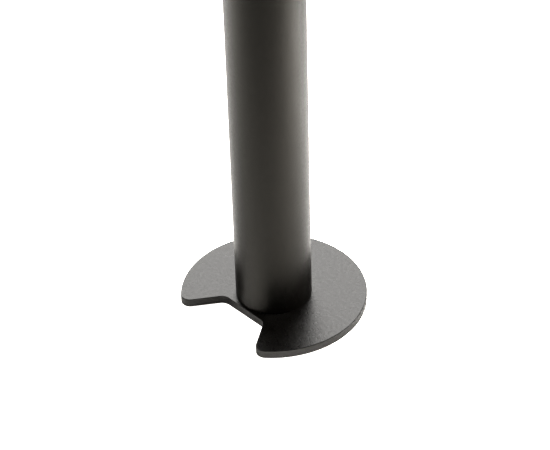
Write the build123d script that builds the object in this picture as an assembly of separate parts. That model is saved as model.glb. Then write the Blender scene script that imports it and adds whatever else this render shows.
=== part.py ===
from build123d import *
from math import cos, hypot, radians, sin, tan
import os

# Column ashtray bin, in millimetres, +Z up. The origin is the centre of the underside, on
# the ground, and the notch of the base plate faces -Y.
#
# A steel tube stands on a heavy round plate. A head closes the tube: it carries the top
# plate, the stubbing grid, the butt opening and a key lock, and a liner hangs from it by a
# bayonet. Head and liner lift out of the tube together.

# ---------------------------------------------------------------- base
mat_thickness = 1.5
mat_inset = 3.0                 # the rubber mat is set back from the plate's outline
plate_radius = 125.0
plate_thickness = 12.0
plate_edge_round = 1.0
notch_gap_to_tube = 3.2         # from the tube to the flat of the notch
notch_flat_half_width = 38.0    # at the sharp corners, before they are rounded
notch_flare_angle = 34.0        # each side, from the notch's own axis
notch_inner_round = 14.0
notch_outer_round = 12.5

# ---------------------------------------------------------------- column tube
tube_radius = 50.8              # a stock tube of 101.6 mm
tube_wall = 2.0
tube_length = 875.0
foot_ring_height = 15.0
foot_ring_wall = 18.0
top_ring_height = 20.0
top_ring_wall = 4.0
guide_height = 10.0
guide_lead_in = 2.0
guide_above_liner_end = 20.0    # from the liner's lower end up to the guide

# ---------------------------------------------------------------- base screws
base_screw_count = 4
base_screw_first_angle = 45.0
base_screw_shank_radius = 4.0
base_screw_head_radius = 8.2
base_screw_grip = 12.0          # how far each screw enters the foot ring
base_screw_socket = 5.0         # across the flats of the hexagon socket
base_screw_socket_depth = 3.0

# ---------------------------------------------------------------- head
gasket_height = 1.5
head_overhang = 2.0             # the flange past the tube, a drip edge and a finger grip
flange_height = 12.0
flange_top_round = 3.0
flange_small_round = 0.8
skirt_wall = 2.6
skirt_depth = 50.0              # below the top of the tube
skirt_lead_in = 1.0
rim_width = 10.0                # of the flange, outside the top plate's seat
ledge_width = 6.5
ledge_height = 4.0
top_plate_thickness = 3.0
top_plate_recess = 2.0          # below the rim of the flange

# ---------------------------------------------------------------- top plate screws
plate_screw_count = 4
plate_screw_first_angle = 45.0
plate_screw_shank_radius = 1.75
plate_screw_head_radius = 2.9
plate_screw_socket = 2.0
plate_screw_socket_depth = 1.2

# ---------------------------------------------------------------- butt opening and chute
opening_near = 10.0             # from the centre to the narrow side of the opening
opening_far = 27.0              # from the centre to the wide side
opening_half_width = 10.0       # of the narrow side
opening_flare_angle = 34.0
opening_round = 3.5
chute_wall = 1.0
chute_end_gap = 2.0             # above the liner's collar

# ---------------------------------------------------------------- stubbing grid
grid_length = 62.0
grid_width = 15.0
grid_thickness = 1.5
grid_corner_round = 3.0
grid_centre_y = 3.5
grid_hole_radius = 1.5
grid_hole_pitch = 4.6
grid_hole_columns = 11
grid_hole_rows = 3
grid_window_margin = 1.6        # past the outermost holes
grid_screw_radius = 1.25
grid_screw_head_radius = 2.2
grid_screw_head_height = 1.0
grid_screw_end_margin = 3.0     # from the screw's axis to the end of the grid

# ---------------------------------------------------------------- key lock
lock_axis_y = 24.0
lock_body_radius = 7.5
lock_flange_radius = 9.0
lock_flange_height = 2.0
lock_nut_across_flats = 18.0
lock_nut_height = 4.0
lock_barrel_radius = 5.0
lock_recess_radius = 4.0
lock_recess_depth = 7.0
lock_triangle_radius = 3.2      # from the axis to the corners of the three-cornered post
cam_thickness = 3.0
cam_half_width = 6.0
cam_gap_below_ring = 1.0
cam_gap_to_tube = 1.5           # at the tip, when locked
cam_square = 6.0
cam_window_gap = 1.5            # above and below the cam, in the skirt
cam_swing_margin = 3.0          # degrees, past the cam's swing at each end of the window
cam_screw_radius = 2.0
cam_screw_head_radius = 4.5
cam_screw_head_height = 2.5
cam_screw_length = 8.0          # inside the barrel

# ---------------------------------------------------------------- liner and bayonet
collar_wall = 2.3
collar_top_below_cam = 7.0
collar_height = 30.0
pin_count = 3
pin_first_angle = 30.0
pin_radius = 2.0
pin_below_collar_top = 10.0
bayonet_turn = 30.0             # degrees that the liner turns to leave its pins
liner_wall = 1.0
liner_length = 380.0
liner_lap = 14.0                # the tube's lap inside the collar
liner_bottom_thickness = 1.5
liner_bottom_upstand = 9.0
liner_drain_radius = 1.5
liner_drain_count = 5
liner_drain_circle_radius = 22.0
rivet_radius = 1.6
rivet_head_radius = 3.0
rivet_head_height = 0.9
rivet_count = 3

# ---------------------------------------------------------------- clearances
fixed_fit = 0.05                # round pieces that stay together
thread_fit = 0.05
through_fit = 0.4               # a screw in its plain hole
sink_fit = 0.1                  # a countersunk head above its seat
running_fit = 0.4               # round pieces that slide past each other
turning_fit = 0.06              # the lock's barrel in its body
pin_slot_fit = 0.3
guide_fit = 1.6                 # the liner in its guide

# ---------------------------------------------------------------- levels and radii
plate_bottom = mat_thickness
plate_top = plate_bottom + plate_thickness
tube_top = plate_top + tube_length
tube_inner_radius = tube_radius - tube_wall
ring_outer_radius = tube_inner_radius - fixed_fit
top_ring_bottom = tube_top - top_ring_height
top_ring_inner_radius = ring_outer_radius - top_ring_wall
foot_ring_top = plate_top + foot_ring_height
base_screw_circle_radius = ring_outer_radius - foot_ring_wall / 2

flange_bottom = tube_top + gasket_height
flange_top = flange_bottom + flange_height
flange_radius = tube_radius + head_overhang
seat_radius = flange_radius - rim_width
top_plate_radius = seat_radius - fixed_fit
ledge_inner_radius = seat_radius - ledge_width
plate_screw_circle_radius = seat_radius - ledge_width / 2
top_plate_top = flange_top - top_plate_recess
top_plate_bottom = top_plate_top - top_plate_thickness
ledge_bottom = top_plate_bottom - ledge_height
skirt_bottom = tube_top - skirt_depth
skirt_outer_radius = top_ring_inner_radius - running_fit
skirt_inner_radius = skirt_outer_radius - skirt_wall

cam_top = top_ring_bottom - cam_gap_below_ring
cam_bottom = cam_top - cam_thickness
cam_reach = tube_inner_radius - cam_gap_to_tube - lock_axis_y

collar_top = cam_bottom - collar_top_below_cam
collar_bottom = collar_top - collar_height
collar_outer_radius = skirt_inner_radius - running_fit
collar_inner_radius = collar_outer_radius - collar_wall
pin_level = collar_top - pin_below_collar_top

liner_outer_radius = collar_inner_radius - fixed_fit
liner_inner_radius = liner_outer_radius - liner_wall
liner_top = collar_bottom + liner_lap
liner_end = liner_top - liner_length
guide_bottom = liner_end + guide_above_liner_end


def cylinder(radius, bottom, top, x=0.0, y=0.0):
    """An upright cylinder between two levels."""
    height = top - bottom
    return Pos(x, y, bottom + height / 2) * Cylinder(radius, height)


def ring(outer_radius, inner_radius, bottom, top):
    """An upright ring round the column's axis."""
    return cylinder(outer_radius, bottom, top) - cylinder(inner_radius, bottom, top)


def ring_sector(inner_radius, outer_radius, bottom, top, start_angle, arc):
    """A piece of a ring round the column's axis, counter-clockwise from its start angle."""
    width = outer_radius - inner_radius
    middle = Pos(inner_radius + width / 2, (bottom + top) / 2)
    section = Plane.XZ * middle * Rectangle(width, top - bottom)
    return Rot(0, 0, start_angle) * revolve(section, Axis.Z, arc)


def on_circle(radius, count, first_angle):
    """Places on a circle round the column's axis, evenly spaced."""
    angles = [first_angle + 360 / count * step for step in range(count)]
    return [(radius * cos(radians(angle)), radius * sin(radians(angle))) for angle in angles]


def joined(shapes):
    """Several shapes as one, which is how holes are cut together."""
    shapes = list(shapes)
    whole = shapes[0]
    for shape in shapes[1:]:
        whole = whole + shape
    return whole


def flared_outline(near, far, half_width, flare_angle):
    """A four-sided outline towards -Y, narrow side near the centre."""
    far_half_width = half_width + (far - near) * tan(radians(flare_angle))
    corners = [
        (-half_width, -near),
        (-far_half_width, -far),
        (far_half_width, -far),
        (half_width, -near),
    ]
    return make_face(Polyline(*corners, close=True))


def countersunk_screw(shank_radius, head_radius, length, socket, socket_depth):
    """A countersunk screw, head up, with the top of its head at the origin."""
    cone_height = head_radius - shank_radius
    cone = Pos(0, 0, -cone_height / 2) * Cone(shank_radius, head_radius, cone_height)
    shank = cylinder(shank_radius, -length, 0)
    socket_face = RegularPolygon(socket / 2, 6, major_radius=False)
    return cone + shank - extrude(socket_face, -socket_depth)


# ================================================================= column body
def plate_outline():
    """A round outline with the notch: inner and outer corners are rounded."""
    notch_flat = tube_radius + notch_gap_to_tube
    past_rim = 2 * plate_radius
    outline = Circle(plate_radius) - flared_outline(
        notch_flat, past_rim, notch_flat_half_width, notch_flare_angle
    )
    inner_corners = [v for v in outline.vertices() if abs(v.Y + notch_flat) < 0.01]
    outline = fillet(inner_corners, notch_inner_round)
    rim_corners = [
        v for v in outline.vertices()
        if v.Y < -notch_flat and abs(hypot(v.X, v.Y) - plate_radius) < 0.01
    ]
    return fillet(rim_corners, notch_outer_round)


def base_plate():
    plate = Pos(0, 0, plate_bottom) * extrude(plate_outline(), plate_thickness)
    level_faces = plate.faces().filter_by(Axis.Z)
    sharp_edges = [edge for face in level_faces for edge in face.outer_wire().edges()]
    plate = fillet(sharp_edges, plate_edge_round)
    hole_radius = base_screw_shank_radius + through_fit
    sink_radius = base_screw_head_radius + through_fit
    sink_depth = sink_radius - hole_radius
    for x, y in on_circle(base_screw_circle_radius, base_screw_count, base_screw_first_angle):
        plate = plate - cylinder(hole_radius, plate_bottom, plate_top, x, y)
        sink = Cone(sink_radius, hole_radius, sink_depth)
        plate = plate - Pos(x, y, plate_bottom + sink_depth / 2) * sink
    return plate


def floor_mat():
    return extrude(offset(plate_outline(), -mat_inset), mat_thickness)


def foot_ring():
    inner_radius = ring_outer_radius - foot_ring_wall
    foot = ring(ring_outer_radius, inner_radius, plate_top, foot_ring_top)
    hole_radius = base_screw_shank_radius + thread_fit
    for x, y in on_circle(base_screw_circle_radius, base_screw_count, base_screw_first_angle):
        foot = foot - cylinder(hole_radius, plate_top, foot_ring_top, x, y)
    return foot


def base_screws():
    length = plate_thickness + base_screw_grip
    screw = countersunk_screw(
        base_screw_shank_radius,
        base_screw_head_radius,
        length,
        base_screw_socket,
        base_screw_socket_depth,
    )
    upside_down = Rot(180, 0, 0) * screw
    head_level = plate_bottom + through_fit - sink_fit
    places = on_circle(base_screw_circle_radius, base_screw_count, base_screw_first_angle)
    return Compound([(Pos(x, y, head_level) * upside_down).solid() for x, y in places])


def column_tube():
    return ring(tube_radius, tube_inner_radius, plate_top, tube_top)


def top_ring():
    return ring(ring_outer_radius, top_ring_inner_radius, top_ring_bottom, tube_top)


def liner_guide():
    inner_radius = liner_outer_radius + guide_fit
    guide = ring(ring_outer_radius, inner_radius, guide_bottom, guide_bottom + guide_height)
    upper_edge = guide.edges().filter_by(GeomType.CIRCLE).group_by(Axis.Z)[-1].sort_by(SortBy.RADIUS)
    return chamfer(upper_edge[0], guide_lead_in)


# ================================================================= head body
def head_ring():
    profile = [
        (skirt_inner_radius, skirt_bottom),
        (skirt_outer_radius - skirt_lead_in, skirt_bottom),
        (skirt_outer_radius, skirt_bottom + skirt_lead_in),
        (skirt_outer_radius, flange_bottom),
        (flange_radius, flange_bottom),
        (flange_radius, flange_top),
        (seat_radius, flange_top),
        (seat_radius, top_plate_bottom),
        (ledge_inner_radius, top_plate_bottom),
        (ledge_inner_radius, ledge_bottom),
        (skirt_inner_radius, ledge_bottom),
    ]
    section = make_face(Plane.XZ * Polyline(*profile, close=True))
    head = revolve(section, Axis.Z)
    circles = head.edges().filter_by(GeomType.CIRCLE)
    rim = [e for e in circles if abs(e.radius - flange_radius) < 0.01]
    top_rim = ShapeList(rim).sort_by(Axis.Z)[-1]
    head = fillet(top_rim, flange_top_round)
    circles = head.edges().filter_by(GeomType.CIRCLE)
    drip_edge = [
        e for e in circles
        if abs(e.radius - flange_radius) < 0.01 and abs(e.center().Z - flange_bottom) < 0.01
    ]
    seat_edge = [
        e for e in circles
        if abs(e.radius - seat_radius) < 0.01 and abs(e.center().Z - flange_top) < 0.01
    ]
    head = fillet(drip_edge + seat_edge, flange_small_round)
    head = head - cam_window()
    for x, y in on_circle(plate_screw_circle_radius, plate_screw_count, plate_screw_first_angle):
        hole_radius = plate_screw_shank_radius + thread_fit
        head = head - cylinder(hole_radius, ledge_bottom, top_plate_bottom, x, y)
    return head - joined(bayonet_pin_shapes(pin_radius + fixed_fit))


def cam_window():
    """The way for the cam through the skirt, as wide as the cam's swing past the skirt."""
    # The tip of the cam meets the skirt's inner wall part of the way through its swing.
    sine = (skirt_inner_radius**2 - cam_reach**2 - lock_axis_y**2) / (2 * cam_reach * lock_axis_y)
    tip_x = cam_reach * (1 - sine**2) ** 0.5
    tip_y = lock_axis_y + cam_reach * sine
    half_cam = Vector(skirt_inner_radius, cam_half_width).get_angle(Vector(1, 0))
    first = Vector(tip_x, tip_y).get_angle(Vector(1, 0)) - half_cam - cam_swing_margin
    last = 90 + half_cam + cam_swing_margin
    return ring_sector(
        skirt_inner_radius - skirt_wall,
        skirt_outer_radius + skirt_wall,
        cam_bottom - cam_window_gap,
        cam_top + cam_window_gap,
        first,
        last - first,
    )


def bayonet_pin_shapes(radius):
    """The pins of the bayonet, which point from the skirt to the column's axis."""
    inner_end = collar_inner_radius - running_fit
    outer_end = skirt_outer_radius
    length = outer_end - inner_end
    pin = Pos(inner_end + length / 2, 0, pin_level) * Rot(0, 90, 0) * Cylinder(radius, length)
    turns = [pin_first_angle + 360 / pin_count * step for step in range(pin_count)]
    return [Rot(0, 0, turn) * pin for turn in turns]


def bayonet_pins():
    return Compound([pin.solid() for pin in bayonet_pin_shapes(pin_radius)])


def head_gasket():
    inner_radius = skirt_outer_radius + running_fit
    return ring(tube_radius, inner_radius, tube_top, flange_bottom)


def butt_opening_outline():
    outline = flared_outline(opening_near, opening_far, opening_half_width, opening_flare_angle)
    return fillet(outline.vertices(), opening_round)


def grid_holes():
    """Places of the grid's holes, each row shifted by half a pitch from the next."""
    places = []
    for row in range(grid_hole_rows):
        shift = grid_hole_pitch / 2 * (row % 2)
        columns = grid_hole_columns - row % 2
        for column in range(columns):
            x = (column - (grid_hole_columns - 1) / 2) * grid_hole_pitch + shift
            y = grid_centre_y + (row - (grid_hole_rows - 1) / 2) * grid_hole_pitch * sin(radians(60))
            places.append((x, y))
    return places


def grid_screw_places():
    x = grid_length / 2 - grid_screw_end_margin
    return [(-x, grid_centre_y), (x, grid_centre_y)]


def top_plate():
    plate = cylinder(top_plate_radius, top_plate_bottom, top_plate_top)
    opening = extrude(butt_opening_outline(), top_plate_thickness)
    plate = plate - Pos(0, 0, top_plate_bottom) * opening
    reach = grid_hole_radius + grid_window_margin
    window_length = (grid_hole_columns - 1) * grid_hole_pitch + 2 * reach
    window_width = (grid_hole_rows - 1) * grid_hole_pitch * sin(radians(60)) + 2 * reach
    window = RectangleRounded(window_length, window_width, grid_corner_round)
    plate = plate - Pos(0, grid_centre_y, top_plate_bottom) * extrude(window, top_plate_thickness)
    lock_hole = lock_body_radius + fixed_fit
    plate = plate - cylinder(lock_hole, top_plate_bottom, top_plate_top, 0, lock_axis_y)
    for x, y in grid_screw_places():
        hole_radius = grid_screw_radius + thread_fit
        plate = plate - cylinder(hole_radius, top_plate_bottom, top_plate_top, x, y)
    hole_radius = plate_screw_shank_radius + through_fit / 2
    sink_radius = plate_screw_head_radius + through_fit / 2
    sink_depth = sink_radius - hole_radius
    for x, y in on_circle(plate_screw_circle_radius, plate_screw_count, plate_screw_first_angle):
        plate = plate - cylinder(hole_radius, top_plate_bottom, top_plate_top, x, y)
        sink = Cone(hole_radius, sink_radius, sink_depth)
        plate = plate - Pos(x, y, top_plate_top - sink_depth / 2) * sink
    return plate


def top_plate_screws():
    screw = countersunk_screw(
        plate_screw_shank_radius,
        plate_screw_head_radius,
        top_plate_thickness + ledge_height,
        plate_screw_socket,
        plate_screw_socket_depth,
    )
    head_level = top_plate_top - through_fit / 2 + sink_fit
    places = on_circle(plate_screw_circle_radius, plate_screw_count, plate_screw_first_angle)
    return Compound([(Pos(x, y, head_level) * screw).solid() for x, y in places])


def butt_chute():
    """The duct that leads butts past the lock and into the liner."""
    end = collar_top + chute_end_gap
    depth = top_plate_bottom - end
    inside = butt_opening_outline()
    outside = offset(inside, chute_wall)
    return Pos(0, 0, end) * extrude(outside - inside, depth)


def stub_grid():
    outline = RectangleRounded(grid_length, grid_width, grid_corner_round)
    grid = Pos(0, grid_centre_y, top_plate_top) * extrude(outline, grid_thickness)
    top = top_plate_top + grid_thickness
    holes = [cylinder(grid_hole_radius, top_plate_top, top, x, y) for x, y in grid_holes()]
    hole_radius = grid_screw_radius + through_fit / 2
    holes += [cylinder(hole_radius, top_plate_top, top, x, y) for x, y in grid_screw_places()]
    return grid - holes


def grid_screws():
    seat = top_plate_top + grid_thickness
    screws = []
    for x, y in grid_screw_places():
        head = cylinder(grid_screw_head_radius, seat, seat + grid_screw_head_height, x, y)
        head = chamfer(head.edges().sort_by(Axis.Z)[-1], grid_screw_head_height / 3)
        shank = cylinder(grid_screw_radius, top_plate_bottom, seat, x, y)
        screws.append((head + shank).solid())
    return Compound(screws)


def lock_body():
    flange_end = top_plate_top + lock_flange_height
    body_end = cam_top + running_fit
    flange = cylinder(lock_flange_radius, top_plate_top, flange_end, 0, lock_axis_y)
    flange = chamfer(flange.edges().sort_by(Axis.Z)[-1], lock_flange_height / 4)
    body = flange + cylinder(lock_body_radius, body_end, top_plate_top, 0, lock_axis_y)
    bore_radius = lock_barrel_radius + turning_fit
    return body - cylinder(bore_radius, body_end, flange_end, 0, lock_axis_y)


def lock_nut():
    outline = RegularPolygon(lock_nut_across_flats / 2, 6, major_radius=False)
    outline = outline - Circle(lock_body_radius + thread_fit)
    return Pos(0, lock_axis_y, top_plate_bottom - lock_nut_height) * extrude(outline, lock_nut_height)


# ================================================================= lock body
def lock_barrel():
    top = top_plate_top + lock_flange_height
    barrel = cylinder(lock_barrel_radius, cam_top, top)
    recess = cylinder(lock_recess_radius, top - lock_recess_depth, top)
    post = Pos(0, 0, top - lock_recess_depth) * extrude(
        RegularPolygon(lock_triangle_radius, 3), lock_recess_depth
    )
    barrel = barrel - (recess - post)
    spigot = Pos(0, 0, cam_bottom) * extrude(Rectangle(cam_square, cam_square), cam_thickness)
    bore = cylinder(cam_screw_radius + thread_fit, cam_bottom, cam_bottom + cam_screw_length)
    return Pos(0, lock_axis_y, 0) * (barrel + spigot - bore)


def lock_cam():
    """The cam points to +X when unlocked and to +Y, under the top ring, when locked."""
    arm_length = cam_reach + cam_half_width
    arm = Pos(arm_length / 2 - cam_half_width, 0) * RectangleRounded(
        arm_length, 2 * cam_half_width, cam_half_width * 0.6
    )
    hole = cam_square + 2 * fixed_fit
    outline = arm - Rectangle(hole, hole)
    return Pos(0, lock_axis_y, cam_bottom) * extrude(outline, cam_thickness)


def cam_screw():
    head = cylinder(cam_screw_head_radius, cam_bottom - cam_screw_head_height, cam_bottom)
    shank = cylinder(cam_screw_radius, cam_bottom, cam_bottom + cam_screw_length - fixed_fit)
    socket = extrude(RegularPolygon(cam_screw_radius * 0.75, 6), cam_screw_head_height / 2)
    screw = head + shank - Pos(0, 0, cam_bottom - cam_screw_head_height) * socket
    return Pos(0, lock_axis_y, 0) * screw


# ================================================================= liner body
def liner_collar():
    collar = ring(collar_outer_radius, collar_inner_radius, collar_bottom, collar_top)
    slot_half = pin_radius + pin_slot_fit
    # Angle that half of a slot takes at the collar's inner wall.
    slot_angle = Vector(collar_inner_radius, slot_half).get_angle(Vector(1, 0))
    inner = collar_inner_radius - collar_wall
    outer = collar_outer_radius + collar_wall
    for step in range(pin_count):
        pin_angle = pin_first_angle + 360 / pin_count * step
        entry_angle = pin_angle - bayonet_turn
        arc = bayonet_turn + 2 * slot_angle
        level = (pin_level - slot_half, pin_level + slot_half)
        collar = collar - ring_sector(inner, outer, *level, entry_angle - slot_angle, arc)
        entry = (pin_level, collar_top)
        collar = collar - ring_sector(inner, outer, *entry, entry_angle - slot_angle, 2 * slot_angle)
    return collar - joined(rivet_holes())


def rivet_level():
    return collar_bottom + liner_lap / 2


def around(shape):
    """Copies of a shape round the column's axis, one for each rivet."""
    turns = [pin_first_angle + 60 + 360 / rivet_count * step for step in range(rivet_count)]
    return [Rot(0, 0, turn) * shape for turn in turns]


def rivet_holes():
    inner_end = liner_inner_radius - rivet_head_height
    length = collar_outer_radius + rivet_head_height - inner_end
    hole = Rot(0, 90, 0) * Cylinder(rivet_radius + fixed_fit, length)
    return around(Pos(inner_end + length / 2, 0, rivet_level()) * hole)


def liner_rivets():
    """Each rivet clamps the liner's tube to its collar between two heads."""
    head_gap = fixed_fit * 4
    inner_face = liner_inner_radius * cos(radians(5)) - head_gap
    outer_face = collar_outer_radius + head_gap
    inner_end = inner_face - rivet_head_height
    outer_end = outer_face + rivet_head_height
    lying = Rot(0, 90, 0)
    shank_length = outer_end - inner_end
    middle = inner_end + shank_length / 2
    rivet = Pos(middle, 0, 0) * lying * Cylinder(rivet_radius, shank_length)
    for start in (inner_end, outer_face):
        head = lying * Cylinder(rivet_head_radius, rivet_head_height)
        rivet = rivet + Pos(start + rivet_head_height / 2, 0, 0) * head
    return Compound([shape.solid() for shape in around(Pos(0, 0, rivet_level()) * rivet)])


def liner_tube():
    tube = ring(liner_outer_radius, liner_inner_radius, liner_end, liner_top)
    return tube - joined(rivet_holes())


def liner_bottom():
    radius = liner_inner_radius - fixed_fit
    bottom = cylinder(radius, liner_end, liner_end + liner_bottom_upstand)
    hollow_radius = radius - liner_bottom_thickness
    floor_level = liner_end + liner_bottom_thickness
    bottom = bottom - cylinder(hollow_radius, floor_level, liner_end + liner_bottom_upstand)
    for x, y in on_circle(liner_drain_circle_radius, liner_drain_count, 0):
        bottom = bottom - cylinder(liner_drain_radius, liner_end, floor_level, x, y)
    return bottom


nodes = {
    "base_plate": base_plate,
    "floor_mat": floor_mat,
    "foot_ring": foot_ring,
    "base_screws": base_screws,
    "column_tube": column_tube,
    "top_ring": top_ring,
    "liner_guide": liner_guide,
    "head_ring": head_ring,
    "head_gasket": head_gasket,
    "bayonet_pins": bayonet_pins,
    "top_plate": top_plate,
    "top_plate_screws": top_plate_screws,
    "butt_chute": butt_chute,
    "stub_grid": stub_grid,
    "grid_screws": grid_screws,
    "lock_body": lock_body,
    "lock_nut": lock_nut,
    "lock_barrel": lock_barrel,
    "lock_cam": lock_cam,
    "cam_screw": cam_screw,
    "liner_collar": liner_collar,
    "liner_rivets": liner_rivets,
    "liner_tube": liner_tube,
    "liner_bottom": liner_bottom,
}

os.makedirs("parts", exist_ok=True)
for name, make in nodes.items():
    shape = make()
    print(name, "solids", len(shape.solids()), "volume", round(shape.volume, 1))
    export_step(shape, "parts/" + name + ".step")
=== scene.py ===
# %% [markdown]
# # A column ashtray in a white studio
# The object is a black steel tube on a heavy round plate with a notch. A head with a
# stubbing grid, a butt opening and a key lock closes the tube, and a liner hangs from it.
# The construction model is loaded as a fixed frame, in metres. This script only gives it
# its finishes, adds the fine pressed and rolled details, and sets up the studio.

# %% The fixed frame
import math

import bpy
from mathutils import Matrix, Vector


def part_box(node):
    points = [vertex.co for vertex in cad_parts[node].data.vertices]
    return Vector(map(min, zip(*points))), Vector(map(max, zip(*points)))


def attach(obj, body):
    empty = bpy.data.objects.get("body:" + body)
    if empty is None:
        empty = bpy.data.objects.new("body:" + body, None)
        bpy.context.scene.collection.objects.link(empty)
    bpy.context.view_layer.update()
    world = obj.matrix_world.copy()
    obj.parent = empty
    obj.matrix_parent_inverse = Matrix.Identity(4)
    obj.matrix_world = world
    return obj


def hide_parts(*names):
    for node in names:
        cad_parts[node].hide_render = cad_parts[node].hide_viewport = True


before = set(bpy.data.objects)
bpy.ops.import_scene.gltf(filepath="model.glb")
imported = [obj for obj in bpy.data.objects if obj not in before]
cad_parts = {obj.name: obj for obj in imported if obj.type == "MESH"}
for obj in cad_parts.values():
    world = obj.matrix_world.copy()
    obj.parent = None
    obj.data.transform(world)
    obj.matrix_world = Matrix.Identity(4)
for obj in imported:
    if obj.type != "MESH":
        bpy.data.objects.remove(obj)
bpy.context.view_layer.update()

# %% [markdown]
# The sizes that the grown details need come from the frame: the tube's wall, the liner and
# its collar. Taking them from the pieces keeps each detail on its piece, even if that piece
# changes.

# %% Sizes read from the pieces
def radius_of(node):
    """Half the width of a round piece that stands on the axis."""
    low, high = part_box(node)
    return (high.x - low.x) / 2


def levels_of(node):
    """The lowest and the highest level of a piece."""
    low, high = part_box(node)
    return low.z, high.z


tube_radius = radius_of("column_tube")
tube_foot, tube_top = levels_of("column_tube")
liner_radius = radius_of("liner_tube")
liner_end = levels_of("liner_tube")[0]
print("tube radius", round(tube_radius, 4), "liner radius", round(liner_radius, 4))

# %% [markdown]
# ## Camera
# The camera looks down on the foot of the column from two and a half metres away, through
# a long lens, so the sides of the tube are almost parallel. It is placed by its compass
# angle round the column, its distance and its height. The last few degrees, a small turn
# and a small roll, are those of a hand-held shot.

# %% Camera
CAMERA_ROUND = 47.93        # degrees round the column: 0 looks along +Y
CAMERA_DISTANCE = 2.0769    # metres from the column's axis, measured level
CAMERA_HEIGHT = 1.6999      # metres above the floor
CAMERA_DOWN = 37.198        # degrees that the lens points below the horizon
CAMERA_TURN = 0.116         # degrees past the axis, to the right
CAMERA_ROLL = -1.765        # degrees
LENS = 130.378              # millimetres, on the sensor below
SENSOR_WIDTH = 36.0         # millimetres
NEAREST_SEEN = 0.05         # metres
FARTHEST_SEEN = 50.0


def place_camera():
    data = bpy.data.cameras.new("camera")
    data.sensor_width = SENSOR_WIDTH
    data.lens = LENS
    data.clip_start = NEAREST_SEEN
    data.clip_end = FARTHEST_SEEN
    camera = bpy.data.objects.new("camera", data)
    bpy.context.scene.collection.objects.link(camera)
    round_angle = math.radians(CAMERA_ROUND)
    away = Vector((math.sin(round_angle), -math.cos(round_angle), 0.0))
    # A camera at rest looks down its own -Z with +Y up. It is tipped up to the horizon and
    # back down, turned to face the column, and rolled about its own line of sight.
    turn = Matrix.Rotation(round_angle - math.radians(CAMERA_TURN), 4, "Z")
    tip = Matrix.Rotation(math.radians(90.0 - CAMERA_DOWN), 4, "X")
    roll = Matrix.Rotation(math.radians(CAMERA_ROLL), 4, "Z")
    place = Matrix.Translation(away * CAMERA_DISTANCE + Vector((0.0, 0.0, CAMERA_HEIGHT)))
    camera.matrix_world = place @ turn @ tip @ roll
    bpy.context.scene.camera = camera
    return camera


camera = place_camera()
print("camera at", tuple(round(c, 3) for c in camera.matrix_world.translation))

# %% [markdown]
# ## Studio
# Black gloss has almost no colour of its own: what it shows is the light around it. So the
# studio does the work. The floor is a white table that glows a little. A wide soft light
# hangs behind the column, where the flat of the plate mirrors it, and a dim panel stands on
# the right, where the tube's right side mirrors it. Two small lamps brighten the floor on
# the left and the right, and the tube's flanks mirror that floor. Those two are hidden from
# reflections, so that their own outlines don't show in the coat. The lights are area lamps,
# because their size sets how softly they fade.

# %% Helpers for the studio
def new_material(name, colour, roughness, metallic=0.0):
    """A material with a Principled BSDF, and its uniform numbers on the shader itself."""
    material = bpy.data.materials.new(name)
    material.use_nodes = True
    shader = material.node_tree.nodes["Principled BSDF"]
    shader.inputs["Base Color"].default_value = colour
    shader.inputs["Roughness"].default_value = roughness
    shader.inputs["Metallic"].default_value = metallic
    return material, shader


def seen_by_camera(tree, extra, base):
    """A strength of base, with extra on top where the camera looks straight at it."""
    path = tree.nodes.new("ShaderNodeLightPath")
    lift = tree.nodes.new("ShaderNodeMath")
    lift.operation = "MULTIPLY_ADD"
    lift.inputs[1].default_value = extra
    lift.inputs[2].default_value = base
    tree.links.new(path.outputs["Is Camera Ray"], lift.inputs[0])
    return lift.outputs[0]


# %% White floor
FLOOR_SIZE = 12.0
FLOOR_WHITE = (0.86, 0.842, 0.812, 1.0)
FLOOR_ROUGHNESS = 0.9
FLOOR_SHINE = 0.1
FLOOR_GLOW = 0.05           # of the lit table
FLOOR_SEEN = 1.10           # more of it, towards the camera only
GLOW_WARMTH = (1.0, 0.985, 0.955, 1.0)


def white_floor():
    half = FLOOR_SIZE / 2
    mesh = bpy.data.meshes.new("studio_floor")
    corners = [(-half, -half, 0.0), (half, -half, 0.0), (half, half, 0.0), (-half, half, 0.0)]
    mesh.from_pydata(corners, [], [(0, 1, 2, 3)])
    floor = bpy.data.objects.new("studio_floor", mesh)
    bpy.context.scene.collection.objects.link(floor)
    material, shader = new_material("studio_white", FLOOR_WHITE, FLOOR_ROUGHNESS)
    shader.inputs["Specular IOR Level"].default_value = FLOOR_SHINE
    shader.inputs["Emission Color"].default_value = GLOW_WARMTH
    glow = seen_by_camera(material.node_tree, FLOOR_SEEN, FLOOR_GLOW)
    material.node_tree.links.new(glow, shader.inputs["Emission Strength"])
    mesh.materials.append(material)
    return floor


floor = white_floor()
print("floor", floor.name, FLOOR_SIZE, "m wide")

# %% [markdown]
# **Lamps and air.** Each lamp is placed by its angle round the column, counted from the
# camera, so the whole studio turns with the camera. Its brightness is that of its face, so
# a lamp can be made larger without making its reflection brighter.

# %% Soft lights
# Each light: name, degrees round the column from the camera (right is positive), distance,
# height, width, depth of its face, how bright its face is, and whether the coat mirrors it.
LIGHTS = [
    ("back_light", 180.0, 2.6, 2.1, 3.0, 2.6, 4.5, True),
    ("right_panel", 105.0, 2.2, 1.8, 1.6, 1.4, 1.1, True),
    ("right_light", 86.0, 1.0, 0.48, 0.7, 0.5, 44.0, False),
    ("left_light", -100.0, 1.3, 0.6, 1.0, 0.8, 15.0, False),
]
AIM_HEIGHT = 0.15


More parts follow.
